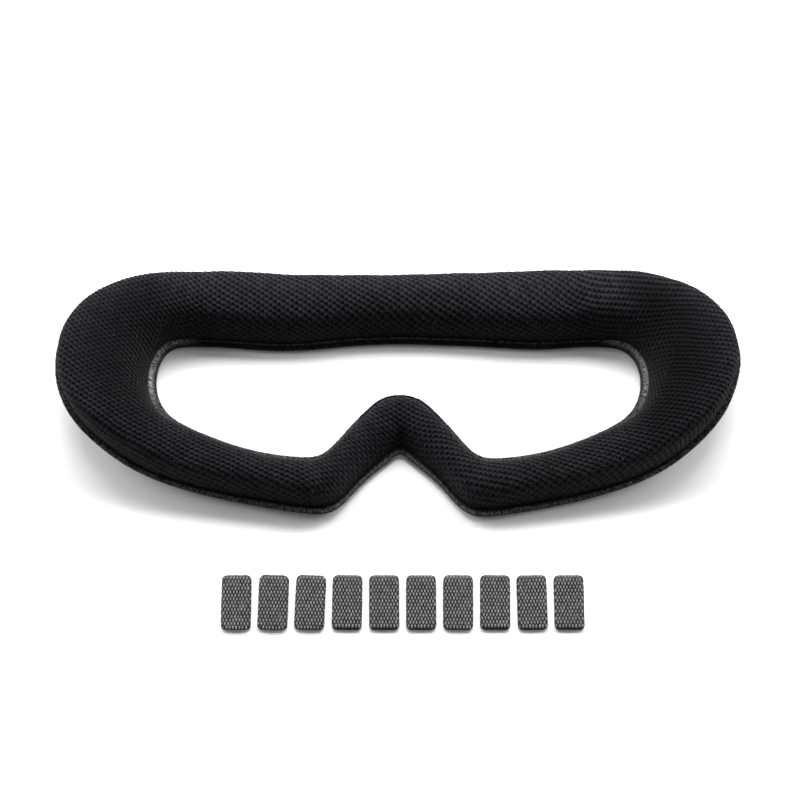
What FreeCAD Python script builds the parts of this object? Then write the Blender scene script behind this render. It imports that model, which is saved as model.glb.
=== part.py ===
import FreeCAD, Part
import math
import os

# Foam face pad for video goggles, lying with its face side up, and the row of self-adhesive
# hook-tape stickers that fasten it to the goggles. Millimetres, +Z up, +Y towards the brow.
# The origin is the middle of the underside of the bounding box.

# ---- driving dimensions ----
FLANGE_WIDTH = 2.0           # pressed rim all round, between its cut edge and the foot of the dome
FLANGE_THICKNESS = 1.6       # lining, glue line and cover together
COVER_THICKNESS = 0.8
LINING_THICKNESS = 0.7
GLUE_LINE = 0.1              # between cover, foam and lining
FLAT_HALF_WIDTH = 45.0       # the pad's back is flat this far each side of the middle
BACK_RADIUS = 110.0          # and then curves up to its ends on this radius

TAPE_WIDTH = 8.0
TAPE_LENGTH = 15.0
TAPE_CORNER_RADIUS = 1.4
TAPE_BASE_THICKNESS = 0.5
HOOK_HEIGHT = 0.9
HOOK_WIDTH = 0.38
HOOK_LENGTH = 0.72
HOOK_STEM_LENGTH = 0.4
HOOK_TIP_DROP = 0.3          # the hook's head is this thick, over its free end
HOOK_COLUMNS = 9
HOOK_ROWS = 15
HOOK_COLUMN_PITCH = 0.87
HOOK_ROW_PITCH = 0.96
ADHESIVE_THICKNESS = 0.15
LINER_THICKNESS = 0.12

TAPE_PITCH = 9.85            # from one sticker's centre to the next
TAPE_ROW_X = 0.7             # the row's middle
TAPE_ROW_Y = -57.4
# how far each sticker is turned from square, in degrees, from left to right
TAPE_TURNS = (0.0, -1.3, -2.0, -0.7, 0.3, 0.0, -0.5, -0.6, 0.9, 0.0)

# Cross-sections of the pad's right half, from the middle of the brow round to the nose bridge:
# inner edge x, y; outer edge x, y; crown height; how far the inner and outer walls lean inwards
STATIONS = (
    (0.0, 17.0, 0.0, 36.4, 12.0, 4.5, 1.5),
    (14.0, 16.4, 14.0, 36.3, 12.0, 4.5, 1.5),
    (27.0, 15.1, 28.0, 36.4, 12.2, 4.7, 1.5),
    (40.2, 14.6, 43.2, 36.8, 12.6, 5.2, 1.5),
    (51.4, 15.2, 58.5, 36.2, 13.2, 6.2, 1.5),
    (60.1, 13.9, 73.9, 33.1, 13.8, 7.0, 1.5),
    (64.7, 10.3, 85.4, 25.9, 14.0, 6.5, 1.5),
    (66.3, 5.9, 91.7, 15.0, 14.0, 5.0, 1.5),
    (66.1, 0.9, 92.8, 4.0, 13.6, 4.2, 1.5),
    (63.8, -4.5, 89.5, -6.8, 13.0, 3.5, 2.0),
    (58.5, -8.6, 80.0, -16.6, 12.2, 2.5, 2.5),
    (48.3, -12.9, 64.7, -24.9, 11.2, 1.5, 2.8),
    (36.6, -16.3, 44.2, -30.5, 10.5, 1.5, 3.0),
    (27.0, -17.5, 29.5, -33.2, 10.2, 1.5, 3.2),
    (21.0, -16.5, 19.5, -33.4, 10.0, 1.5, 3.8),
    (15.5, -11.0, 13.0, -28.0, 9.8, 1.4, 5.2),
    (9.0, -3.6, 6.6, -21.2, 9.6, 1.3, 6.8),
    (3.8, 0.4, 2.2, -17.2, 9.5, 1.2, 7.9),
    (0.0, 1.0, 0.0, -15.9, 9.5, 1.2, 8.3),
)
# The dome's section is one cubic spline whose inner poles stand on the leaning walls
SHOULDER_HEIGHT = 0.75       # of the dome's height
SHOULDER_LEAN = 0.35         # of the wall's lean
CROWN_POLE_INSET = 0.5
CROWN_POLE_RISE = 1.06       # of the crown height
STRETCHES = 12                # faces that each strip round the ring is divided into
LINE_SPAN = ([0.0, 1.0], [2, 2], 1)                              # knots, multiplicities, degree
DOME_SPAN = ([0.0, 1.0 / 3.0, 2.0 / 3.0, 1.0], [4, 1, 1, 4], 3)

Z_AXIS = FreeCAD.Vector(0, 0, 1)
ORIGIN = FreeCAD.Vector(0, 0, 0)


# ---- the pad ----
def back_height(x):
    """Height of the pad's back above the table, x from the middle."""
    past_flat = max(0.0, abs(x) - FLAT_HALF_WIDTH)
    return BACK_RADIUS - math.sqrt(BACK_RADIUS ** 2 - past_flat ** 2)


class Section:
    """One upright cross-section of the pad, from its inner edge to its outer edge."""

    def __init__(self, station):
        inner_x, inner_y, outer_x, outer_y, self.crown, self.lean_in, self.lean_out = station
        self.inner = FreeCAD.Vector(inner_x, inner_y, back_height(inner_x))
        self.outer = FreeCAD.Vector(outer_x, outer_y, back_height(outer_x))
        self.middle = (self.inner + self.outer) / 2
        self.width = math.hypot(outer_x - inner_x, outer_y - inner_y)

    def points(self, poles):
        """Points at distances across from the inner edge and heights above the pad's back."""
        along = (self.outer - self.inner) / self.width
        return [self.inner + along * across + Z_AXIS * height for across, height in poles]

    def dome(self, inset, foot):
        """Poles of the spline over the dome, set in from the outside, from a foot's height."""
        start = FLANGE_WIDTH + inset
        end = self.width - FLANGE_WIDTH - inset
        crown = self.crown - inset
        shoulder = FLANGE_THICKNESS + SHOULDER_HEIGHT * (crown - FLANGE_THICKNESS)
        return (
            (start, foot),
            (start + SHOULDER_LEAN * self.lean_in, shoulder),
            (start + self.lean_in + CROWN_POLE_INSET, crown * CROWN_POLE_RISE),
            (end - self.lean_out - CROWN_POLE_INSET, crown * CROWN_POLE_RISE),
            (end - SHOULDER_LEAN * self.lean_out, shoulder),
            (end, foot),
        )


def joined(corners):
    """Spans of two poles each that join the corners in turn."""
    return list(zip(corners, corners[1:]))


def cover_outline(section):
    """The knitted cover: a pressed rim on each side and a thin shell over the dome."""
    foot = FLANGE_THICKNESS - COVER_THICKNESS
    width = section.width
    over = section.dome(0, FLANGE_THICKNESS)
    under = section.dome(COVER_THICKNESS, foot)[::-1]
    return [
        *joined([under[-1], (0, foot), (0, FLANGE_THICKNESS), over[0]]),
        over,
        *joined([over[-1], (width, FLANGE_THICKNESS), (width, foot), under[0]]),
        under,
    ]


def foam_outline(section):
    """The moulded foam that fills the dome."""
    over = section.dome(COVER_THICKNESS + GLUE_LINE, LINING_THICKNESS + GLUE_LINE)
    return [over, (over[-1], over[0])]


def lining_outline(section):
    """The flat loop fabric over the whole back."""
    width = section.width
    return joined([(0, 0), (0, LINING_THICKNESS), (width, LINING_THICKNESS), (width, 0), (0, 0)])


def ring(outline):
    """Solid whose closed outline changes smoothly from section to section round the pad."""
    left = [(-inner_x, inner_y, -outer_x, *rest)
            for inner_x, inner_y, outer_x, *rest in reversed(STATIONS[1:-1])]
    sections = [Section(station) for station in (*STATIONS, *left)]
    round_path = [0.0]                       # each section's distance along the ring's middle
    for section, following in zip(sections, sections[1:] + sections[:1]):
        round_path.append(round_path[-1] + section.middle.distanceToPoint(following.middle))

    faces = []
    for span in zip(*(outline(section) for section in sections)):
        knots, multiplicities, degree = LINE_SPAN if len(span[0]) == 2 else DOME_SPAN
        columns = []
        for column in zip(*(section.points(poles) for section, poles in zip(sections, span))):
            curve = Part.BSplineCurve()
            curve.interpolate(Points=list(column), PeriodicFlag=True, Parameters=round_path)
            columns.append(curve)
        surface = Part.BSplineSurface()
        surface.buildFromPolesMultsKnots(
            list(zip(*(curve.getPoles() for curve in columns))),
            columns[0].getMultiplicities(), multiplicities, columns[0].getKnots(), knots,
            True, False, columns[0].Degree, degree)
        for stretch in range(STRETCHES):
            face = surface.copy()
            face.segment(round_path[-1] * stretch / STRETCHES,
                         round_path[-1] * (stretch + 1) / STRETCHES, 0, 1)
            faces.append(face.toShape())
    shell = Part.makeShell(faces)
    shell.sewShape()
    solid = Part.makeSolid(shell)
    if solid.Volume < 0:
        solid.reverse()
    return solid


# ---- the stickers ----
def rounded_slab(thickness, bottom):
    """Rounded rectangle with the tape's outline, centred on the axis."""
    slab = Part.makeBox(
        TAPE_WIDTH, TAPE_LENGTH, thickness,
        FreeCAD.Vector(-TAPE_WIDTH / 2, -TAPE_LENGTH / 2, bottom))
    upright = [edge for edge in slab.Edges if abs(edge.tangentAt(edge.FirstParameter).z) > 0.5]
    return slab.makeFillet(TAPE_CORNER_RADIUS, upright)


def hook(x, y, bottom):
    """One moulded hook: a stem with a head that overhangs along the tape."""
    back = y - HOOK_LENGTH / 2
    outline = (
        (back, bottom),
        (back, bottom + HOOK_HEIGHT),
        (back + HOOK_LENGTH, bottom + HOOK_HEIGHT),
        (back + HOOK_LENGTH, bottom + HOOK_HEIGHT - HOOK_TIP_DROP),
        (back + HOOK_STEM_LENGTH, bottom + HOOK_HEIGHT - HOOK_TIP_DROP),
        (back + HOOK_STEM_LENGTH, bottom),
        (back, bottom),
    )
    left = x - HOOK_WIDTH / 2
    face = Part.Face(Part.makePolygon([FreeCAD.Vector(left, y, z) for y, z in outline]))
    return face.extrude(FreeCAD.Vector(HOOK_WIDTH, 0, 0))


def hook_tape(bottom):
    """The moulded tape: its base and staggered rows of hooks, in one piece."""
    base = rounded_slab(TAPE_BASE_THICKNESS, bottom)
    top = bottom + TAPE_BASE_THICKNESS
    hooks = []
    for row in range(HOOK_ROWS):
        y = (row - (HOOK_ROWS - 1) / 2) * HOOK_ROW_PITCH
        columns = HOOK_COLUMNS - row % 2     # every other row is shifted by half a pitch
        for column in range(columns):
            x = (column - (columns - 1) / 2) * HOOK_COLUMN_PITCH
            in_corner = (abs(x) > TAPE_WIDTH / 2 - TAPE_CORNER_RADIUS
                         and abs(y) > TAPE_LENGTH / 2 - TAPE_CORNER_RADIUS)
            if not in_corner:
                hooks.append(hook(x, y, top))
    return base.fuse(hooks)


def placed(shape, index):
    """Copy of a sticker's layer, moved to its place in the row."""
    x = TAPE_ROW_X + (index - (len(TAPE_TURNS) - 1) / 2) * TAPE_PITCH
    copy = shape.copy()
    copy.rotate(ORIGIN, Z_AXIS, TAPE_TURNS[index])
    copy.translate(FreeCAD.Vector(x, TAPE_ROW_Y, 0))
    return copy


# ---- the whole ----
shapes = {
    "face_cover": ring(cover_outline),
    "foam_core": ring(foam_outline),
    "back_loop_lining": ring(lining_outline),
}
lowest = shapes["back_loop_lining"].optimalBoundingBox(False).ZMin
for shape in shapes.values():
    shape.translate(Z_AXIS * -lowest)

liner = rounded_slab(LINER_THICKNESS, 0)
adhesive = rounded_slab(ADHESIVE_THICKNESS, LINER_THICKNESS)
tape = hook_tape(LINER_THICKNESS + ADHESIVE_THICKNESS)
for index in range(len(TAPE_TURNS)):
    number = f"{index + 1:02d}"
    shapes["hook_tape_" + number] = placed(tape, index)
    shapes["adhesive_" + number] = placed(adhesive, index)
    shapes["release_liner_" + number] = placed(liner, index)

whole = Part.makeCompound(list(shapes.values())).optimalBoundingBox(False)
to_origin = FreeCAD.Vector(0, -(whole.YMin + whole.YMax) / 2, 0)
print("size", round(whole.XLength, 2), round(whole.YLength, 2), round(whole.ZLength, 2))
print("moved by", to_origin, "pad lifted by", -lowest)

os.makedirs("parts", exist_ok=True)
for name, shape in shapes.items():
    shape.translate(to_origin)
    print(name, "valid", shape.isValid(), "solids", len(shape.Solids), "volume", round(shape.Volume, 2))
    shape.exportStep("parts/" + name + ".step")
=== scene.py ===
import math

import bpy
import numpy as np
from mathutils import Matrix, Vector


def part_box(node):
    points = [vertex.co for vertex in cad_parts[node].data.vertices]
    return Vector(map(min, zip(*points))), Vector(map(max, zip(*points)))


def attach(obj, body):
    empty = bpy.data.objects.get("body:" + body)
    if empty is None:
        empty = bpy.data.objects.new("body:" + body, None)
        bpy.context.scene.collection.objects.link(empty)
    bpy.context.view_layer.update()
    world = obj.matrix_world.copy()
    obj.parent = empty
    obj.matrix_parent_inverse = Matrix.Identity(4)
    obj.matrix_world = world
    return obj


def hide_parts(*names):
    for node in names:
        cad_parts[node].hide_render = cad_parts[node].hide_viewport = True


# Looks of the goggle face pad and of its hook-tape stickers. Pieces are worked out in the pad's
# drawing, in millimetres, and to_frame() moves them to the frame, which is in metres.
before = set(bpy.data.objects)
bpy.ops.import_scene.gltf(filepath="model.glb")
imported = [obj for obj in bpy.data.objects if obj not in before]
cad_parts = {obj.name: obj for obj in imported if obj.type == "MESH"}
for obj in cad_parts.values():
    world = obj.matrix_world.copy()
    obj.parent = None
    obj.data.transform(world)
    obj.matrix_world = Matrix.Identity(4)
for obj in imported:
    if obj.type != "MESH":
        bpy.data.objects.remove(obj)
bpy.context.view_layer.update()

MM = 0.001
SEED = 20

# ---- the pad's drawing ----
FLANGE_WIDTH = 2.0
FLANGE_THICKNESS = 1.6
COVER_THICKNESS = 0.8
LINING_THICKNESS = 0.7
GLUE_LINE = 0.1
FLAT_HALF_WIDTH = 45.0
BACK_RADIUS = 110.0
SHOULDER_HEIGHT = 0.75
SHOULDER_LEAN = 0.35
CROWN_POLE_INSET = 0.5
CROWN_POLE_RISE = 1.06
# Cross-sections of the right half, from the middle of the brow round to the nose bridge: inner
# edge x, y; outer edge x, y; crown height; how far the inner and outer walls lean inwards
STATIONS = (
    (0.0, 17.0, 0.0, 36.4, 12.0, 4.5, 1.5),
    (14.0, 16.4, 14.0, 36.3, 12.0, 4.5, 1.5),
    (27.0, 15.1, 28.0, 36.4, 12.2, 4.7, 1.5),
    (40.2, 14.6, 43.2, 36.8, 12.6, 5.2, 1.5),
    (51.4, 15.2, 58.5, 36.2, 13.2, 6.2, 1.5),
    (60.1, 13.9, 73.9, 33.1, 13.8, 7.0, 1.5),
    (64.7, 10.3, 85.4, 25.9, 14.0, 6.5, 1.5),
    (66.3, 5.9, 91.7, 15.0, 14.0, 5.0, 1.5),
    (66.1, 0.9, 92.8, 4.0, 13.6, 4.2, 1.5),
    (63.8, -4.5, 89.5, -6.8, 13.0, 3.5, 2.0),
    (58.5, -8.6, 80.0, -16.6, 12.2, 2.5, 2.5),
    (48.3, -12.9, 64.7, -24.9, 11.2, 1.5, 2.8),
    (36.6, -16.3, 44.2, -30.5, 10.5, 1.5, 3.0),
    (27.0, -17.5, 29.5, -33.2, 10.2, 1.5, 3.2),
    (21.0, -16.5, 19.5, -33.4, 10.0, 1.5, 3.8),
    (15.5, -11.0, 13.0, -28.0, 9.8, 1.4, 5.2),
    (9.0, -3.6, 6.6, -21.2, 9.6, 1.3, 6.8),
    (3.8, 0.4, 2.2, -17.2, 9.5, 1.2, 7.9),
    (0.0, 1.0, 0.0, -15.9, 9.5, 1.2, 8.3),
)

# ---- the cover's fine shape ----
STEPS_ROUND = 1920
DOME_STEPS = 150
FLANGE_STEPS = 9
UNDER_STEPS = 16
FLANGE_EDGE = 0.25           # rounding of the rim's cut edge
FLANGE_DIP = 0.08            # how far the rim is pressed down beside the dome's foot
END_FLANGE_EXTRA = 0.2       # the rim is wider round the ends of the eye opening
LEFT_LEG_LIFT = 1.3
RIGHT_LEG_LIFT = 0.4
END_BULGE = 1.3              # the dome overhangs the rim at the pad's two ends
STITCH_DEPTH = 0.36
WALL_PEEL = 0.45             # how much of the walls' height the flat fabric had
RIM_ROUGHNESS = 0.05         # random wear of the pressed rim
FUZZ_FIBRES = 14000

# ---- the foam and the lining ----
FOAM_STEPS_ROUND = 480
FOAM_STEPS_ACROSS = 40
LINING_STEPS_ROUND = 900
LINING_GROUND = 0.42         # the loops hang below the ground cloth
LINING_EDGE = 0.08
LINING_UNDER_STEPS = 36
PILE_LOOPS = 4500

# ---- the knit, counted in stitches and rows to the millimetre ----
STITCHES = 0.84
STITCH_FAN = 0.0022          # the columns of stitches fan out a little from left to right
STITCH_TILT = 0.075
ROWS = 0.61
# the rows fall from left to right: how many are crossed in each millimetre, above and below the
# eye opening, and from where to where that changes
SLOPES_ABOVE = (0.62, (-60.0, -46.0, 0.378), (46.0, 58.0, 0.086))
SLOPES_BELOW = (0.34, (-30.0, -20.0, 0.63), (-8.0, 2.0, 0.41), (2.0, 10.0, 0.12), (26.0, 36.0, 0.29))
ROWS_APART = 25.0            # between the two, at the middle
ZIGZAG = 0.42                # of a row
LINE_HALF_WIDTH = 0.22
PIT_HALF_WIDTH = 0.28
LINE_DEPTH = 0.50
PIT_DEPTH = 0.50
STRAND_RIB = 0.03
STROKES_ROUND = 1.9          # the rim's pressed wrinkles, to the millimetre round and across the ring
STROKES_ACROSS = 0.6

# ---- slack places of the cover: x, y, size and depth ----
DIMPLES = ((-54.0, 20.0, 5.0, 0.45), (47.0, 24.0, 4.0, 0.45), (51.0, 20.0, 3.0, 0.3), (12.5, -7.0, 2.5, 0.5))

# ---- the cover's swelling, by simulation ----
SIM_ROUND = 480
SIM_ACROSS = 25
SIM_FRAMES = 16
SIM_PRESSURE = 4.0
MOST_SWELL = 0.6

# ---- the stickers ----
TAPE_COUNT = 10
TAPE_WIDTH = 8.0
TAPE_LENGTH = 15.0
TAPE_CORNER_RADIUS = 1.4
TAPE_BASE_THICKNESS = 0.5
HOOK_TOP = 0.9
HOOK_COLUMN_PITCH = 0.87
HOOK_ROW_PITCH = 0.96
HEAD_WIDTH = 0.56
HEAD_LENGTH = 1.15
TAPE_TURNS = (0.0, -1.3, -2.0, -0.7, 0.3, 0.0, -0.5, -0.6, 0.9, 0.0)

# ---- studio ----
CAMERA_ELEVATION = 70.5
CAMERA_DISTANCE = 0.619
CAMERA_LENS = 101.25
LIGHT_DISTANCE = 1.0
KEY_POWER = 18.5
FILL_POWER = 10.0
WORLD_STRENGTH = 0.20
TABLE_HALF_SIZE = 3.0


# ---- curves ----
def smooth_step(low, high, value):
    t = np.clip((value - low) / (high - low), 0, 1)
    return t * t * (3 - 2 * t)


def turning(low, high, value):
    """Integral of smooth_step: flat before low, and rising one for one after high."""
    t = np.clip((value - low) / (high - low), 0, 1)
    return (high - low) * (t ** 3 - t ** 4 / 2) + np.maximum(value - high, 0)


def climbing(value, slope, *changes):
    """Integral of a slope that changes smoothly: each change is from, to and the new slope."""
    total = slope * value
    for low, high, new_slope in changes:
        total = total + (new_slope - slope) * turning(low, high, value)
        slope = new_slope
    return total


def unit(vectors):
    return vectors / np.maximum(np.linalg.norm(vectors, axis=-1, keepdims=True), 1e-12)


def back_height(x):
    """Height of the pad's back above the table, x from the middle."""
    past_flat = np.maximum(0.0, np.abs(x) - FLAT_HALF_WIDTH)
    return BACK_RADIUS - np.sqrt(BACK_RADIUS ** 2 - past_flat ** 2)


class ClosedSpline:
    """Periodic cubic spline through points at given distances; the last distance closes it."""

    def __init__(self, distances, points):
        self.knots = distances
        self.points = points
        self.gaps = np.diff(distances)
        gaps, count = self.gaps, len(points)
        slopes = (np.roll(points, -1, 0) - points) / gaps[:, None]
        system = np.zeros((count, count))
        for i in range(count):
            system[i, i - 1] = gaps[i - 1]
            system[i, i] = 2 * (gaps[i - 1] + gaps[i])
            system[i, (i + 1) % count] = gaps[i]
        self.bends = np.linalg.solve(system, 6 * (slopes - np.roll(slopes, 1, 0)))

    def at(self, distance):
        i = np.clip(np.searchsorted(self.knots, distance, "right") - 1, 0, len(self.gaps) - 1)
        j = (i + 1) % len(self.gaps)
        gap = self.gaps[i][:, None]
        past = distance[:, None] - self.knots[i][:, None]
        left = gap - past
        value = (self.bends[i] * left ** 3 + self.bends[j] * past ** 3) / (6 * gap)
        value += (self.points[i] / gap - self.bends[i] * gap / 6) * left
        return value + (self.points[j] / gap - self.bends[j] * gap / 6) * past


def dome_weights(t):
    """Clamped cubic B-spline weights of the dome's six poles, t from 0 to 1."""
    knots = np.array([0, 0, 0, 0, 1 / 3, 2 / 3, 1, 1, 1, 1])
    t = np.clip(t, 0, 1 - 1e-9)
    basis = [np.where((knots[i] <= t) & (t < knots[i + 1]), 1.0, 0.0) for i in range(9)]
    for degree in (1, 2, 3):
        higher = []
        for i in range(9 - degree):
            before, after = knots[i + degree] - knots[i], knots[i + degree + 1] - knots[i + 1]
            rise = (t - knots[i]) / before * basis[i] if before > 0 else 0 * t
            fall = (knots[i + degree + 1] - t) / after * basis[i + 1] if after > 0 else 0 * t
            higher.append(rise + fall)
        basis = higher
    return np.stack(basis, -1)


def lie(points):
    """Small offsets, because the soft pad doesn't lie quite true and its legs stand off the table."""
    x, y = points[..., 0], points[..., 1]
    brow_top = smooth_step(20.0, 34.0, y)
    brow_lip = smooth_step(6.0, 12.0, y) * (1 - smooth_step(18.0, 24.0, y))
    corner = np.exp(-((np.abs(x) - 62.0) ** 2 + (y - 13.5) ** 2) / 5.0 ** 2)
    corner = corner * np.where(x < 0, 0.8, 0.4)
    sideways = -0.5 * smooth_step(25.0, 80.0, np.abs(x)) + np.sign(x) * corner
    sideways = sideways - 0.9 * smooth_step(70.0, 88.0, x) * (1 - smooth_step(-4.0, 10.0, y))
    away = 0.8 * smooth_step(0.0, 25.0, x) * (1 - smooth_step(62.0, 78.0, x)) * brow_top
    away = away + 0.4 * smooth_step(30.0, 45.0, -x) * (1 - smooth_step(66.0, 78.0, -x)) * brow_top
    away = away - 0.9 * (1 - smooth_step(15.0, 38.0, np.abs(x + 8))) * brow_lip + corner
    leg = smooth_step(6.0, 22.0, np.abs(x)) * (1 - smooth_step(-16.0, 2.0, y))
    flank = smooth_step(3.0, 12.0, np.abs(x)) * (1 - smooth_step(-6.0, 4.0, y)) * (1 - leg)
    away = away + 0.5 * flank + 0.15 * leg
    away = away + 0.45 * smooth_step(12.0, 26.0, -x) * (1 - smooth_step(-32.0, -20.0, y))
    lifted = np.where(x < 0, LEFT_LEG_LIFT, RIGHT_LEG_LIFT) * leg
    return np.stack([sideways, away, lifted], -1)


class Pad:
    """The pad's drawing, sampled at distances round its ring."""

    def __init__(self):
        right = np.array(STATIONS)
        left = right[-2:0:-1] * (-1, 1, -1, 1, 1, 1, 1)
        table = np.vstack([right, left])
        self.inner = np.column_stack([table[:, :2], back_height(table[:, 0])])
        self.outer = np.column_stack([table[:, 2:4], back_height(table[:, 2])])
        self.width = np.hypot(*(self.outer - self.inner)[:, :2].T)
        self.crown, self.lean_in, self.lean_out = table[:, 4:].T
        middle = (self.inner + self.outer) / 2
        steps = np.linalg.norm(np.roll(middle, -1, 0) - middle, axis=1)
        self.distances = np.concatenate([[0], np.cumsum(steps)])
        self.length = self.distances[-1]
        inner_end = smooth_step(52.0, 63.0, np.abs(self.inner[:, 0]))
        self.inner_flange = FLANGE_WIDTH + END_FLANGE_EXTRA * inner_end
        outer_x, outer_y = np.abs(self.outer[:, 0]), self.outer[:, 1]
        self.bulge = END_BULGE * smooth_step(66.0, 84.0, outer_x) * smooth_step(-24.0, -8.0, outer_y)
        self.bulge *= 1 - 0.7 * smooth_step(10.0, 27.0, outer_y)
        own = self.line(self.width, 0, self.round_at(720))
        lining_low, lining_high = (np.array(corner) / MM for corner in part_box("back_loop_lining"))
        self.moved = np.array([0, lining_high[1] - own[:, 1].max(), lining_low[2] - own[:, 2].min()])

    def round_at(self, count):
        return np.linspace(0, self.length, count, endpoint=False)

    def line(self, across, height, round_at):
        """Points round the ring at a distance across and a height in every section."""
        along = (self.outer - self.inner) / self.width[:, None]
        points = self.inner + along * (across + 0 * self.width)[:, None]
        points[:, 2] += height
        return ClosedSpline(self.distances, points).at(round_at)

    def dome(self, inset, foot, round_at, t):
        """Grid over the dome: a row for each t, a column for each distance round the ring."""
        start = self.inner_flange + inset
        end = self.width - FLANGE_WIDTH - inset
        crown = self.crown - inset
        shoulder = FLANGE_THICKNESS + SHOULDER_HEIGHT * (crown - FLANGE_THICKNESS)
        cage = np.stack([
            self.line(start, foot, round_at),
            self.line(start + SHOULDER_LEAN * self.lean_in, shoulder, round_at),
            self.line(start + self.lean_in + CROWN_POLE_INSET, crown * CROWN_POLE_RISE, round_at),
            self.line(end - self.lean_out - CROWN_POLE_INSET + 0.4 * self.bulge,
                      crown * CROWN_POLE_RISE, round_at),
            self.line(end - SHOULDER_LEAN * self.lean_out + 1.4 * self.bulge, shoulder, round_at),
            self.line(end, foot, round_at),
        ])
        return np.einsum("tp,pux->tux", dome_weights(t), cage)

    def to_frame(self, points):
        return (points + lie(points) + self.moved) * MM


# ---- meshes ----
def ring_faces(rows, columns):
    """Faces of a grid whose rows and columns both close."""
    r, c = np.meshgrid(np.arange(rows), np.arange(columns), indexing="ij")
    r2, c2 = (r + 1) % rows, (c + 1) % columns
    corners = [r * columns + c, r * columns + c2, r2 * columns + c2, r2 * columns + c]
    return [np.stack(corners, -1).reshape(-1, 4)]


def stack_faces(shapes, stack, sides):
    """Faces of closed shapes, each a stack of rings that turn anticlockwise seen from its end."""
    index = np.arange(shapes * stack * sides).reshape(shapes, stack, sides)
    after = np.roll(index, -1, 2)
    walls = np.stack([index[:, :-1], after[:, :-1], after[:, 1:], index[:, 1:]], -1)
    return [walls.reshape(-1, 4), index[:, 0, ::-1], index[:, -1]]


def tubes(lines, radii, sides):
    """Rings round many thin tubes, whose lines have the same number of points."""
    ahead = unit(np.gradient(lines, axis=1))
    side = unit(np.cross(ahead, (0.36, 0.48, 0.8)))
    up = np.cross(ahead, side)
    turn = np.arange(sides) * math.tau / sides
    spread = side[:, :, None] * np.cos(turn)[:, None] + up[:, :, None] * np.sin(turn)[:, None]
    return lines[:, :, None] + spread * radii[..., None, None]


def add_mesh(name, points, faces, material):
    mesh = bpy.data.meshes.new(name)
    mesh.vertices.add(len(points))
    mesh.vertices.foreach_set("co", np.ascontiguousarray(points, np.float32).ravel())
    corners = np.concatenate([face.ravel() for face in faces])
    sides = np.concatenate([np.full(len(face), face.shape[1]) for face in faces])
    starts = np.concatenate([[0], np.cumsum(sides)[:-1]])
    mesh.loops.add(len(corners))
    mesh.loops.foreach_set("vertex_index", corners.astype(np.int32))
    mesh.polygons.add(len(sides))
    mesh.polygons.foreach_set("loop_start", starts.astype(np.int32))
    mesh.polygons.foreach_set("use_smooth", np.ones(len(sides), bool))
    mesh.update(calc_edges=True)
    mesh.materials.append(material)
    piece = bpy.data.objects.new(name, mesh)
    bpy.context.scene.collection.objects.link(piece)
    return piece


def set_uv(mesh, name, uv):
    """A UV map from one pair for each vertex."""
    corners = np.empty(len(mesh.loops), np.int32)
    mesh.loops.foreach_get("vertex_index", corners)
    layer = mesh.uv_layers.new(name=name)
    layer.data.foreach_set("uv", np.ascontiguousarray(uv[corners], np.float32).ravel())


def set_value(mesh, name, values):
    attribute = mesh.attributes.new(name, "FLOAT", "POINT")
    attribute.data.foreach_set("value", np.ascontiguousarray(values, np.float32).ravel())


# ---- materials ----
class Nodes:
    """A material's node tree, with short ways to add what these materials use."""

    def __init__(self, name, **sockets):
        self.material = bpy.data.materials.new(name)
        self.material.use_nodes = True
        self.tree = self.material.node_tree
        self.shader = self.tree.nodes["Principled BSDF"]
        for socket, value in sockets.items():
            self.shader.inputs[socket.replace("_", " ")].default_value = value

    def add(self, kind, inputs=(), **settings):
        node = self.tree.nodes.new(kind)
        for key, value in settings.items():
            setattr(node, key, value)
        for key, value in dict(inputs).items():
            self.put(node.inputs[key], value)
        return node

    def put(self, socket, value):
        if isinstance(value, bpy.types.NodeSocket):
            self.tree.links.new(value, socket)
        else:
            socket.default_value = value

    def calc(self, operation, *values):
        node = self.add("ShaderNodeMath", operation=operation)
        for socket, value in zip(node.inputs, values):
            self.put(socket, value)
        return node.outputs[0]

    def value(self, name):
        return self.add("ShaderNodeAttribute", attribute_name=name).outputs["Fac"]

    def place(self):
        return self.add("ShaderNodeTexCoord").outputs["Object"]

    def noise(self, scale, detail=2.0, roughness=0.5):
        inputs = {"Vector": self.place(), "Scale": scale, "Detail": detail, "Roughness": roughness}
        return self.add("ShaderNodeTexNoise", inputs).outputs["Fac"]

    def ramp(self, value, low, high, low_to=0.0, high_to=1.0):
        inputs = {"Value": value, "From Min": low, "From Max": high, "To Min": low_to, "To Max": high_to}
        return self.add("ShaderNodeMapRange", inputs).outputs["Result"]

    def mix(self, share, first, second, blend="MIX"):
        node = self.add("ShaderNodeMix", data_type="RGBA", blend_type=blend)
        self.put(node.inputs[0], share)
        self.put(node.inputs[6], first)
        self.put(node.inputs[7], second)
        return node.outputs[2]

    def bump(self, height, distance, strength=1.0):
        inputs = {"Height": height, "Distance": distance, "Strength": strength}
        return self.add("ShaderNodeBump", inputs).outputs["Normal"]

    def finish(self, **links):
        for socket, value in links.items():
            self.put(self.shader.inputs[socket.replace("_", " ")], value)
        return self.material


def grey(level, blue=1.0, red=1.0):
    return (level * red, level, level * blue, 1)


def bell(n, distance, half_width):
    """exp(-(distance / half_width)^2)"""
    share = n.calc("DIVIDE", distance, half_width)
    return n.calc("EXPONENT", n.calc("MULTIPLY", n.calc("MULTIPLY", share, share), -1.0))


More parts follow.
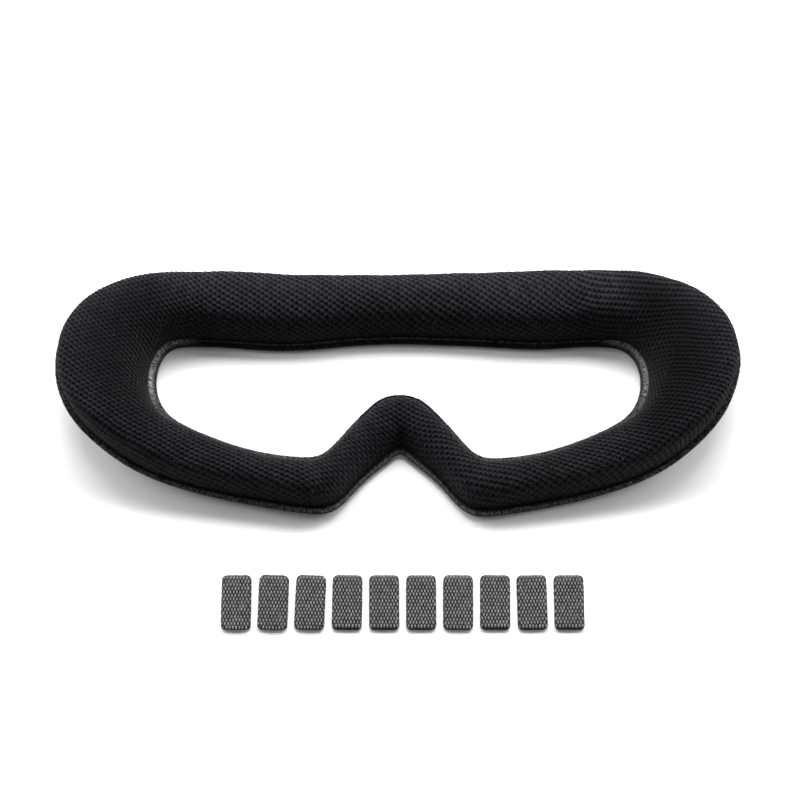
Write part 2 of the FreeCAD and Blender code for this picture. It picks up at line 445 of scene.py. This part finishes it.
def knit_material():
    """Black knitted mesh: V-shaped stitches between zigzag lines, with a pit at each joint."""
    n = Nodes("knit_cover", Roughness=0.85, Specular_IOR_Level=0.05, Sheen_Weight=0.04,
              Sheen_Roughness=0.5, Sheen_Tint=(1.0, 0.93, 0.9, 1.0))
    uv = n.add("ShaderNodeUVMap", uv_map="fabric").outputs["UV"]
    stitch, row = n.add("ShaderNodeSeparateXYZ", {"Vector": uv}).outputs[:2]
    from_pit = n.calc("SUBTRACT", n.calc("FRACT", stitch), 0.5)
    arm = n.calc("MULTIPLY", n.calc("ABSOLUTE", from_pit), 2.0)
    zigzag = n.calc("MULTIPLY_ADD", arm, ZIGZAG, row)
    up_row = n.calc("FRACT", zigzag)
    from_line = n.calc("MINIMUM", up_row, n.calc("SUBTRACT", 1.0, up_row))
    line = bell(n, from_line, LINE_HALF_WIDTH)
    pit = n.calc("MULTIPLY", bell(n, from_line, PIT_HALF_WIDTH), bell(n, from_pit, PIT_HALF_WIDTH))
    strands = n.calc("COSINE", n.calc("MULTIPLY", stitch, 2 * math.tau))
    raised = n.calc("MULTIPLY_ADD", strands, STRAND_RIB, 1.0)
    raised = n.calc("MULTIPLY_ADD", line, -LINE_DEPTH, raised)
    raised = n.calc("MULTIPLY_ADD", pit, -PIT_DEPTH, raised)

    numbers = n.add("ShaderNodeCombineXYZ", {"X": n.calc("FLOOR", stitch), "Y": n.calc("FLOOR", zigzag)})
    random = n.add("ShaderNodeTexWhiteNoise", {"Vector": numbers.outputs[0]}).outputs["Value"]
    fibres = n.noise(4200.0, 3.0, 0.65)
    # The knit's colour follows its height: painted shade darkens the zigzag lines and pits, and painted
    # light brightens the raised strands. The fibre noise and each stitch's random tone are the yarn's own.
    lit = n.calc("MULTIPLY_ADD", fibres, 0.8, raised)
    lit = n.calc("MULTIPLY_ADD", random, 0.4, lit)
    shine = n.ramp(lit, 0.85, 1.8)
    yarn = n.mix(n.ramp(n.noise(1500.0, 2.0), 0.4, 0.6), grey(0.0185, 1.5, 0.96), grey(0.0185, 1.08, 1.1))
    # Two painted copies of the black knit: a lighter one where painted light falls on the higher and
    # back-facing parts, and a darker, shaded one for the walls. Painted shade then darkens the knit beside
    # the eye opening's ends and on the legs.
    crown = n.mix(shine, grey(0.0015), yarn)
    shaded_wall = n.mix(shine, grey(0.0022, 1.35), grey(0.0125, 1.4))
    knit = n.mix(n.value("painted_shade"), n.mix(n.value("crown"), shaded_wall, crown), grey(0.001, 1.6))

    ring = n.add("ShaderNodeUVMap", uv_map="ring").outputs["UV"]
    strokes = n.add("ShaderNodeTexNoise", {"Vector": ring, "Scale": 1.0, "Detail": 3.0, "Roughness": 0.6})
    tuft = n.ramp(n.calc("MULTIPLY_ADD", fibres, 0.9, strokes.outputs["Fac"]), 0.84, 1.08)
    # Pale painted sheen on the rim, a painted highlight, mottled along the pressed wrinkles.
    painted_rim_sheen = n.mix(tuft, grey(0.02, 1.1, 1.08), grey(0.80, 1.08, 1.1))
    rim = n.mix(n.value("rim_tone"), grey(0.005, 1.1, 1.05), painted_rim_sheen)
    tufted = n.calc("MULTIPLY", n.calc("SUBTRACT", tuft, 0.5), n.value("rim"))
    height = n.calc("ADD", n.calc("MULTIPLY_ADD", fibres, 0.5, raised), tufted)
    return n.finish(Base_Color=n.mix(n.value("rim"), knit, rim), Normal=n.bump(height, 0.00016, 0.8))


def foam_material():
    """Open-cell foam, near black with small pores."""
    n = Nodes("moulded_foam", Roughness=0.95, Specular_IOR_Level=0.2)
    cells = n.add("ShaderNodeTexVoronoi", {"Vector": n.place(), "Scale": 1700.0})
    # The pores are painted darker: painted shade in the open cells.
    pores = n.ramp(cells.outputs["Distance"], 0.1, 0.55)
    return n.finish(Base_Color=n.mix(pores, grey(0.005), grey(0.045, 1.08)), Normal=n.bump(pores, 0.0002))


def loop_material():
    """Brushed loop fabric on the back."""
    n = Nodes("loop_fabric", Roughness=0.9, Specular_IOR_Level=0.2, Sheen_Weight=0.1,
              Sheen_Roughness=0.5)
    tufts = n.calc("MULTIPLY_ADD", n.noise(3800.0, 2.0, 0.6), 0.6, n.noise(700.0, 4.0, 0.7))
    colour = n.mix(n.ramp(tufts, 0.6, 1.05), grey(0.008, 1.1), grey(0.05, 1.1))
    return n.finish(Base_Color=colour, Normal=n.bump(tufts, 0.0003, 0.7))


def fibre_material():
    """Loose ends of the knit's yarn."""
    n = Nodes("loose_fibre", Roughness=0.7, Specular_IOR_Level=0.3)
    colour = n.mix(n.ramp(n.noise(300.0, 2.0), 0.4, 0.6), grey(0.02, 1.05), grey(0.09, 1.0, 1.1))
    return n.finish(Base_Color=colour)


def hook_material():
    """Moulded nylon: the heads are painted pale, a painted highlight of the nylon's sheen, and the colour is
    darker towards the base, painted shade between the hooks.
    """
    n = Nodes("hook_plastic", Roughness=0.5, Specular_IOR_Level=0.4)
    # Random wear in the nylon's tone.
    wear_and_shade = n.ramp(n.noise(900.0, 3.0, 0.6), 0.3, 0.7)
    head = n.mix(wear_and_shade, grey(0.064), grey(0.148, 0.98, 1.01))
    base = n.mix(wear_and_shade, grey(0.006, 1.1), grey(0.016, 1.1))
    # Painted highlight on the heads and painted shade towards the base, by the head attribute.
    colour = n.mix(n.value("head"), base, head)
    return n.finish(Base_Color=colour, Normal=n.bump(n.noise(5000.0, 2.0), 0.00003, 0.6))


def adhesive_material():
    n = Nodes("adhesive_film", Roughness=0.25, IOR=1.48)
    colour = n.mix(n.ramp(n.noise(500.0, 3.0), 0.4, 0.65), (0.60, 0.58, 0.50, 1), (0.72, 0.70, 0.64, 1))
    return n.finish(Base_Color=colour, Normal=n.bump(n.noise(1500.0, 2.0), 0.00003, 0.5))


def paper_material():
    n = Nodes("liner_paper", Roughness=0.5, Specular_IOR_Level=0.4)
    fibre = n.noise(2200.0, 5.0, 0.7)
    colour = n.mix(n.ramp(fibre, 0.35, 0.65), (0.74, 0.74, 0.70, 1), (0.83, 0.83, 0.80, 1))
    return n.finish(Base_Color=colour, Normal=n.bump(fibre, 0.00003, 0.5))


def table_material():
    n = Nodes("white_table", Roughness=0.7, Specular_IOR_Level=0.1)
    return n.finish(Base_Color=n.mix(n.ramp(n.noise(3.0), 0.3, 0.7), grey(0.90), grey(0.91)))


# ---- the knitted cover ----
def fabric_place(plan):
    """Stitch and row numbers at plan positions, as the knit lies over the pad."""
    x, y = plan[..., 0], plan[..., 1]
    stitch = STITCHES * x + STITCH_FAN * x * (y - 13.0) + STITCH_TILT * y
    above = climbing(x, *SLOPES_ABOVE)
    below = climbing(x, *SLOPES_BELOW) - ROWS_APART
    upper = smooth_step(-30.0, 25.0, y)
    row = ROWS * y + above * upper + below * (1 - upper)
    wander = 0.13 * np.sin(0.31 * x + 0.9 * np.sin(0.17 * y)) + 0.10 * np.sin(0.43 * y - 0.19 * x)
    return np.stack([stitch + wander, row + 0.8 * wander], -1)


def stitch_height(fabric):
    """Height of the knit, about 0 in a pit and 1.1 on a strand."""
    stitch, row = fabric[..., 0], fabric[..., 1]
    from_pit = stitch % 1 - 0.5
    up_row = (row + ZIGZAG * 2 * np.abs(from_pit)) % 1
    from_line = np.minimum(up_row, 1 - up_row)
    line = np.exp(-(from_line / LINE_HALF_WIDTH) ** 2)
    pit = np.exp(-(from_line ** 2 + from_pit ** 2) / PIT_HALF_WIDTH ** 2)
    return 1 + STRAND_RIB * np.cos(2 * math.tau * stitch) - LINE_DEPTH * line - PIT_DEPTH * pit


def cover_sections(pad, round_at):
    """Rows of points round the ring that go over the cover and back inside, and which are rim."""
    top, foot = FLANGE_THICKNESS, FLANGE_THICKNESS - COVER_THICKNESS + 0.05
    cut_edge = ((0.06, foot), (0.0, foot + 0.2), (0.02, top - 0.2), (0.09, top - 0.07), (FLANGE_EDGE, top))
    shares = np.arange(1, FLANGE_STEPS) / FLANGE_STEPS
    heights = top - FLANGE_DIP * smooth_step(0.6, 1.0, shares)
    rows = [pad.line(across, height, round_at) for across, height in cut_edge]
    for share, height in zip(shares, heights):
        rows.append(pad.line(FLANGE_EDGE + (pad.inner_flange - FLANGE_EDGE) * share, height, round_at))
    first_dome = len(rows)
    rows.extend(pad.dome(0, top, round_at, np.linspace(0.004, 0.996, DOME_STEPS)))
    for share, height in zip(shares[::-1], heights[::-1]):
        across = pad.width - FLANGE_EDGE - (FLANGE_WIDTH - FLANGE_EDGE) * share
        rows.append(pad.line(across, height, round_at))
    for across, height in cut_edge[::-1]:
        rows.append(pad.line(pad.width - across, height, round_at))
    rows.extend(pad.dome(COVER_THICKNESS, foot, round_at, np.linspace(1.0, 0.0, UNDER_STEPS)))
    return np.stack(rows), first_dome


def dimples(points):
    """Shallow hollows and gentle waves, where the cover sits a little slack on the foam."""
    x, y = points[..., 0], points[..., 1]
    waves = 0.10 * np.sin(0.36 * x + 0.15 * y + 1.1) * np.sin(0.21 * y - 0.13 * x + 0.4)
    for at_x, at_y, size, depth in DIMPLES:
        waves -= depth * np.exp(-((x - at_x) ** 2 + (y - at_y) ** 2) / size ** 2)
    return waves


def grid_normals(grid):
    """Unit normals of a grid closed both ways, out of the solid."""
    down = np.roll(grid, -1, 0) - np.roll(grid, 1, 0)
    along = np.roll(grid, -1, 1) - np.roll(grid, 1, 1)
    return unit(np.cross(along, down))


def rim_tones(grid, first_dome, last_dome, outside):
    """How much pale sheen is painted on the flattened rim, a painted highlight: palest round the eye
    opening's ends, darker along the brow.
    """
    x, y = np.abs(grid[..., 0]), grid[..., 1]
    tone = np.zeros(grid.shape[:2])
    share = np.linspace(0, 1, first_dome)[:, None]
    strip = smooth_step(0.24, 0.40, share)
    pale_line = np.exp(-((share - 0.86) / 0.09) ** 2)
    # Painted light on the half of the rim next to the wall at the eye opening's ends, where the corner walls
    # cast their shadow.
    by_wall = smooth_step(0.45, 0.65, share) * smooth_step(-4.0, 3.0, y[:first_dome])
    end = smooth_step(54.0, 61.0, x[:first_dome]) * (0.25 + 0.75 * by_wall)
    low = 1 - smooth_step(-10.0, -4.0, y[:first_dome])
    tone[:first_dome] = np.maximum(np.maximum(0.5 * end * strip, 0.2 * pale_line), 0.1 * low)
    share = np.linspace(1, 0, outside - last_dome)[:, None]
    strip = smooth_step(0.1, 0.25, share) * (1 - smooth_step(0.62, 0.8, share))
    leg = 1 - smooth_step(-22.0, -8.0, y[last_dome:outside])
    tone[last_dome:outside] = 0.2 * leg * strip + 0.1 * (1 - leg)
    return tone


def upsampled(values, rows, columns):
    """A grid of values, closed along its columns, at more rows and columns."""
    at = np.linspace(0, len(values) - 1, rows)
    low = np.minimum(at.astype(int), len(values) - 2)
    values = values[low] + (values[low + 1] - values[low]) * (at - low)[:, None]
    closed = np.hstack([values, values[:, :1]])
    at = np.linspace(0, values.shape[1], columns, endpoint=False)
    low = at.astype(int)
    return closed[:, low] + (closed[:, low + 1] - closed[:, low]) * (at - low)


def swelling(pad, material):
    """How far the stuffed cover stands out of its drawing over the dome, from a cloth simulation."""
    round_at = pad.round_at(SIM_ROUND)
    dome = pad.dome(0, FLANGE_THICKNESS, round_at, np.linspace(0, 1, SIM_ACROSS))
    base = [dome[-1] + (dome[0] - dome[-1]) * share for share in (0.2, 0.4, 0.6, 0.8)]
    grid = np.concatenate([dome, base])
    points = pad.to_frame(grid.reshape(-1, 3))
    piece = add_mesh("stuffed_cover", points, ring_faces(*grid.shape[:2]), material)
    order = np.arange(len(points)).reshape(grid.shape[:2])
    held = np.concatenate([order[:2], order[SIM_ACROSS - 2:]]).ravel()
    piece.vertex_groups.new(name="held").add(held.tolist(), 1.0, "REPLACE")
    cloth = piece.modifiers.new("stuffing", "CLOTH").settings
    cloth.use_pressure = True
    cloth.uniform_pressure_force = SIM_PRESSURE
    cloth.effector_weights.gravity = 0
    cloth.vertex_group_mass = "held"
    scene = bpy.context.scene
    for step in range(1, SIM_FRAMES + 1):
        scene.frame_set(step)
    stuffed = piece.evaluated_get(bpy.context.evaluated_depsgraph_get())
    swollen = np.empty(points.size, np.float32)
    stuffed.data.vertices.foreach_get("co", swollen)
    bpy.data.objects.remove(piece)
    scene.frame_set(1)
    moved = (swollen.reshape(grid.shape) - points.reshape(grid.shape)) / MM
    out = (moved * grid_normals(grid)).sum(-1)[:SIM_ACROSS]
    return np.clip(out, -MOST_SWELL, MOST_SWELL)


def fabric_map(grid, crown):
    """Stitches and rows at each point of the cover, and how far round its section that is."""
    across = unit((grid[-1] - grid[0]) * (1, 1, 0))
    plan = np.einsum("rcx,cx->rc", grid - grid[crown], across)
    arc = np.cumsum(np.linalg.norm(np.diff(grid, axis=0, prepend=grid[:1]), axis=-1), 0)
    flat = plan + WALL_PEEL * (arc - arc[crown] - plan)
    return fabric_place(grid[crown] + across * flat[..., None]), arc


def dome_push(pad, dome, fabric, from_foot, knit):
    """How far the stitches, the stuffing and the slack places move the dome outwards."""
    push = STITCH_DEPTH * (stitch_height(fabric) - 0.9)
    push += upsampled(swelling(pad, knit), DOME_STEPS, STEPS_ROUND)
    push += dimples(dome)
    return push * smooth_step(0, 10, from_foot)[:, None]


def knit_tones(grid, normals):
    """Shares of painted light on the knit's higher and back-facing parts, and of painted shade beside the
    eye opening's ends and on the legs.
    """
    off_middle, y = np.abs(grid[..., 0]), grid[..., 1]
    rise = grid[..., 2] - back_height(grid[..., 0])
    rise /= rise.max(0)
    share = np.linspace(0, 1, len(grid))[:, None]
    faces_away = smooth_step(-0.1, 0.3, normals[..., 1])
    beside_eye = smooth_step(58.0, 70.0, off_middle) * (1 - smooth_step(0.35, 0.72, share))
    on_nose = (1 - smooth_step(14.0, 24.0, off_middle)) * (1 - smooth_step(0.0, 6.0, y))
    # Painted light: the lighter colour goes on the dome's higher parts and on parts that face back towards
    # the key light, with less of it on the nose's front slope.
    crown = smooth_step(0.55, 0.98, rise) * (1 - 0.8 * on_nose * (1 - faces_away))
    crown = np.maximum(crown, faces_away * smooth_step(0.1, 0.3, rise))
    # Painted shade beside the eye opening's ends, stronger towards the right, and on the lit parts below the
    # eyes.
    wear_and_shade = 0.7 + 0.3 * smooth_step(0.0, 60.0, grid[..., 0])
    below_eyes = 1 - smooth_step(-14.0, -4.0, y)
    painted_shade = np.maximum(0.95 * wear_and_shade * beside_eye, 0.3 * below_eyes * crown)
    return crown * (1 - wear_and_shade * beside_eye), painted_shade


def set_cover_maps(mesh, fabric, around, arc, rows):
    """The knit's place on the fabric, and the rim's along and across the ring."""
    full = np.zeros((rows, STEPS_ROUND, 2))
    full[:len(fabric)] = fabric
    full[len(fabric):] = fabric[-1]
    set_uv(mesh, "fabric", full.reshape(-1, 2))
    full[..., 0] = around * STROKES_ROUND
    full[:len(arc), :, 1] = arc * STROKES_ACROSS
    set_uv(mesh, "ring", full.reshape(-1, 2))


def make_cover(pad, knit, fibre):
    rng = np.random.default_rng(SEED)
    round_at = pad.round_at(STEPS_ROUND)
    grid, first_dome = cover_sections(pad, round_at)
    rows = len(grid)
    last_dome = first_dome + DOME_STEPS
    outside = rows - UNDER_STEPS
    fabric, arc = fabric_map(grid[:outside], first_dome + DOME_STEPS // 2)

    normals = grid_normals(grid)
    from_foot = np.minimum(np.arange(DOME_STEPS), np.arange(DOME_STEPS)[::-1])
    dome = slice(first_dome, last_dome)
    push = np.zeros(grid.shape[:2])
    push[dome] = dome_push(pad, grid[dome], fabric[dome], from_foot, knit)
    rim = np.ones(rows)
    rim[dome] = 1 - smooth_step(0, 3, from_foot)
    rim[outside:] = 0
    push += rng.normal(0, RIM_ROUGHNESS, push.shape) * rim[:, None]
    surface = grid + normals * push[..., None]

    piece = add_mesh("knit_cover", pad.to_frame(surface.reshape(-1, 3)),
                     ring_faces(rows, STEPS_ROUND), knit)
    set_cover_maps(piece.data, fabric, round_at, arc, rows)
    set_value(piece.data, "rim", np.repeat(rim, STEPS_ROUND))
    set_value(piece.data, "rim_tone", rim_tones(grid, first_dome, last_dome, outside))
    # The knit's share of painted light, and of painted shade.
    crown, painted_shade = knit_tones(grid, normals)
    set_value(piece.data, "crown", crown)
    set_value(piece.data, "painted_shade", painted_shade)
    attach(piece, "pad")
    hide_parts("face_cover")
    make_fuzz(pad, surface[:outside], normals[:outside], rim[:outside], fibre)


def make_fuzz(pad, surface, normals, rim, fibre):
    """Loose fibre ends that stand out of the cover, most of them along its rim."""
    rng = np.random.default_rng(SEED + 1)
    rows, columns = surface.shape[:2]
    chance = 0.5 + rim * rows / rim.sum()
    row = rng.choice(rows, FUZZ_FIBRES, p=chance / chance.sum())
    column = rng.integers(columns, size=len(row))
    start, out = surface[row, column], normals[row, column]
    lean = unit(rng.normal(size=start.shape))
    length = rng.uniform(0.15, 0.6, len(row))[:, None]
    ahead = unit(out + 0.9 * lean) * length
    bend = np.cross(ahead, unit(rng.normal(size=start.shape))) * rng.uniform(0, 0.9, len(row))[:, None]
    share = np.linspace(0, 1, 4)[:, None]
    lines = start[:, None] + ahead[:, None] * share + bend[:, None] * share ** 2
    radii = np.array([0.034, 0.03, 0.024, 0.008]) * np.ones((len(row), 1))
    rings = tubes(lines, radii, 3)
    piece = add_mesh("cover_fuzz", pad.to_frame(rings.reshape(-1, 3)),
                     stack_faces(*rings.shape[:3]), fibre)
    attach(piece, "pad")


def make_foam(pad, material):
    round_at = pad.round_at(FOAM_STEPS_ROUND)
    inset = COVER_THICKNESS + 3 * GLUE_LINE
    foot = LINING_THICKNESS + GLUE_LINE
    dome = pad.dome(inset, foot, round_at, np.linspace(0, 1, FOAM_STEPS_ACROSS))
    base = [dome[-1] + (dome[0] - dome[-1]) * share for share in (0.25, 0.5, 0.75)]
    grid = np.concatenate([dome, base])
    piece = add_mesh("moulded_foam", pad.to_frame(grid.reshape(-1, 3)),
                     ring_faces(*grid.shape[:2]), material)
    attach(piece, "pad")
    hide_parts("foam_core")


def make_lining(pad, material):
    """Loop fabric: a thin ground cloth with a pile of small loops under it."""
    rng = np.random.default_rng(SEED + 2)
    round_at = pad.round_at(LINING_STEPS_ROUND)
    outline = ((0.04, LINING_GROUND), (0.0, LINING_GROUND + LINING_EDGE),
               (0.0, LINING_THICKNESS - LINING_EDGE), (LINING_EDGE, LINING_THICKNESS))
    rows = [pad.line(across, height, round_at) for across, height in outline]
    rows += [pad.line(pad.width * share, LINING_THICKNESS, round_at) for share in (0.35, 0.65)]
    rows += [pad.line(pad.width - across, height, round_at) for across, height in outline[::-1]]
    for share in np.linspace(0.985, 0.015, LINING_UNDER_STEPS):
        row = pad.line(pad.width * share, LINING_GROUND, round_at)
        row[:, 2] += rng.uniform(-0.04, 0.04, len(row))
        rows.append(row)
    grid = np.stack(rows)
    piece = add_mesh("loop_lining", pad.to_frame(grid.reshape(-1, 3)),
                     ring_faces(*grid.shape[:2]), material)
    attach(piece, "pad")
    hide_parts("back_loop_lining")
    make_pile(pad, grid[-LINING_UNDER_STEPS:].reshape(-1, 3), rng, material)


def make_pile(pad, under, rng, material):
    """Small loops of yarn that hang from the lining's underside."""
    foot = under[rng.choice(len(under), PILE_LOOPS)]
    turn = rng.uniform(0, math.tau, len(foot))
    sideways = np.stack([np.cos(turn), np.sin(turn), 0.5 * (rng.random(len(foot)) - 0.5)], -1)
    sideways *= rng.uniform(0.25, 0.5, len(foot))[:, None]
    arch = np.linspace(0, math.pi, 6)[:, None]
    drop = rng.uniform(0.2, 0.32, len(foot))[:, None, None] * (0, 0, -1)
    lines = foot[:, None] - sideways[:, None] * np.cos(arch) + drop * np.sin(arch)
    rings = tubes(lines, np.full(lines.shape[:2], 0.03), 3)
    pile = add_mesh("loop_pile", pad.to_frame(rings.reshape(-1, 3)),
                    stack_faces(*rings.shape[:3]), material)
    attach(pile, "pad")


# ---- the stickers ----
def rounded_rectangle(width, length, radius, steps):
    """Anticlockwise outline, with steps points round each corner."""
    turn = np.linspace(0, math.pi / 2, steps)
    arc = np.stack([np.cos(turn), np.sin(turn)], -1) * radius + (width / 2 - radius, length / 2 - radius)
    return np.concatenate([arc, (arc * (-1, 1))[::-1], -arc, (arc * (1, -1))[::-1]])


def resampled(outline, count):
    """Evenly spaced points round a closed outline."""
    closed = np.vstack([outline, outline[:1]])
    distance = np.concatenate([[0], np.cumsum(np.linalg.norm(np.diff(closed, axis=0), axis=1))])
    at = np.linspace(0, distance[-1], count, endpoint=False)
    return np.stack([np.interp(at, distance, closed[:, k]) for k in (0, 1)], -1)


def tape_base(rng):
    """Rings of the tape's base, die-cut a little unevenly."""
    outline = resampled(rounded_rectangle(TAPE_WIDTH, TAPE_LENGTH, TAPE_CORNER_RADIUS, 9), 180)
    outward = unit(np.roll(outline, -1, 0) - np.roll(outline, 1, 0)) @ np.array([[0, -1], [1, 0]])
    outline = outline + outward * rng.normal(0, 0.03, (len(outline), 1))
    top = TAPE_BASE_THICKNESS
    levels = ((0.06, 0.0), (0.0, 0.06), (0.0, top - 0.08), (0.03, top - 0.02), (0.10, top), (1.2, top))
    rings = [np.column_stack([outline - outward * inset, np.full(len(outline), height)])
             for inset, height in levels]
    return np.stack(rings)[None]


def hook_heads(rng):
    """Rings of every hook of a tape: a stem, and a long rounded head on it."""
    shift = rng.uniform(-0.5, 0.5, 2) * (HOOK_COLUMN_PITCH, HOOK_ROW_PITCH)
    heads = []
    for row in range(-9, 10):
        for column in range(-6, 7):
            x = (column + (row % 2) / 2) * HOOK_COLUMN_PITCH + shift[0]
            y = row * HOOK_ROW_PITCH + shift[1]
            heads.append((x, y))
    heads = np.array(heads) + rng.normal(0, 0.025, (len(heads), 2))
    half = np.array([TAPE_WIDTH, TAPE_LENGTH]) / 2
    past_corner = np.maximum(np.abs(heads) - (half - TAPE_CORNER_RADIUS), 0)
    to_edge = TAPE_CORNER_RADIUS - np.hypot(*past_corner.T)
    heads, to_edge = heads[to_edge > 0.16], to_edge[to_edge > 0.16]
    turn = np.arange(10) * math.tau / 10
    ring = np.stack([np.cos(turn), np.sin(turn)], -1)
    top = HOOK_TOP
    # width and length as shares of the head's, and height
    levels = ((0.66, 0.36, 0.0), (0.60, 0.34, top - 0.42), (0.92, 0.90, top - 0.34),
              (1.0, 1.0, top - 0.20), (0.80, 0.86, top - 0.05), (0.45, 0.60, top))
    shrink = np.clip(to_edge / 0.42, 0.45, 1)[:, None] * rng.uniform(0.92, 1.06, (len(heads), 1))
    stacks = []
    for wide, long, height in levels:
        size = np.array([wide * HEAD_WIDTH, long * HEAD_LENGTH]) / 2 * shrink
        flat = heads[:, None] + ring * size[:, None]
        tall = np.full((*flat.shape[:2], 1), TAPE_BASE_THICKNESS - 0.02 + height)
        stacks.append(np.concatenate([flat, tall], -1))
    return np.stack(stacks, 1)


def make_tape(number, material):
    rng = np.random.default_rng(SEED + 10 + number)
    name = f"hook_tape_{number:02d}"
    parts = [tape_base(rng), hook_heads(rng)]
    points, faces, heads = [], [], []
    for part in parts:
        start = sum(map(len, points))
        faces += [face + start for face in stack_faces(*part.shape[:3])]
        points.append(part.reshape(-1, 3))
        # The head value is the share of painted highlight, rising with height above the base.
        heads.append(smooth_step(TAPE_BASE_THICKNESS + 0.45, TAPE_BASE_THICKNESS + 0.62, points[-1][:, 2]))
    points = np.concatenate(points)
    turn = math.radians(TAPE_TURNS[number - 1])
    spin = np.array([[math.cos(turn), math.sin(turn), 0], [-math.sin(turn), math.cos(turn), 0], [0, 0, 1]])
    low, high = (np.array(corner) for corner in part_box(name))
    middle = (low + high) / 2 * (1, 1, 0) + (0, 0, low[2])
    piece = add_mesh(name + "_hooks", points @ spin * MM + middle, faces, material)
    set_value(piece.data, "head", np.concatenate(heads))
    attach(piece, f"sticker_{number:02d}")
    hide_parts(name)


# ---- stage ----
def softbox(name, azimuth, elevation, size, power):
    """Area light aimed at the origin; azimuth 0 is in front, 180 behind."""
    light = bpy.data.lights.new(name, "AREA")
    light.shape = "RECTANGLE"
    light.size, light.size_y = size
    light.energy = power
    holder = bpy.data.objects.new(name, light)
    bpy.context.scene.collection.objects.link(holder)
    turn, rise = math.radians(azimuth), math.radians(elevation)
    level = LIGHT_DISTANCE * math.cos(rise)
    holder.location = (level * math.sin(turn), -level * math.cos(turn), LIGHT_DISTANCE * math.sin(rise))
    holder.rotation_euler = (math.pi / 2 - rise, 0, turn)


def make_stage():
    half = TABLE_HALF_SIZE
    corners = np.array([(-half, -half, 0), (half, -half, 0), (half, half, 0), (-half, half, 0)])
    add_mesh("table", corners, [np.array([[0, 1, 2, 3]])], table_material())
    softbox("key_behind", 179, 46, (1.0, 0.26), KEY_POWER)
    softbox("left", -122, 24, (0.8, 0.5), FILL_POWER)
    softbox("right", 122, 24, (0.8, 0.5), FILL_POWER)
    world = bpy.data.worlds.new("studio")
    world.use_nodes = True
    background = world.node_tree.nodes["Background"]
    background.inputs["Color"].default_value = (1, 1, 1, 1)
    background.inputs["Strength"].default_value = WORLD_STRENGTH
    bpy.context.scene.world = world
    bpy.context.scene.view_settings.view_transform = "Standard"


def make_camera(pad):
    camera = bpy.data.cameras.new("camera")
    camera.lens = CAMERA_LENS
    camera.sensor_width = 36.0
    camera.clip_start = 0.01
    holder = bpy.data.objects.new("camera", camera)
    bpy.context.scene.collection.objects.link(holder)
    rise = math.radians(CAMERA_ELEVATION)
    holder.location = (0, pad.moved[1] * MM - CAMERA_DISTANCE * math.cos(rise),
                       CAMERA_DISTANCE * math.sin(rise))
    holder.rotation_euler = (math.pi / 2 - rise, 0, 0)
    bpy.context.scene.camera = holder


pad = Pad()
make_camera(pad)
make_stage()
make_cover(pad, knit_material(), fibre_material())
make_foam(pad, foam_material())
make_lining(pad, loop_material())
hooks, adhesive, paper = hook_material(), adhesive_material(), paper_material()
for number in range(1, TAPE_COUNT + 1):
    make_tape(number, hooks)
    for name, material in (("adhesive_", adhesive), ("release_liner_", paper)):
        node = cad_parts[f"{name}{number:02d}"]
        node.data.materials.clear()
        node.data.materials.append(material)
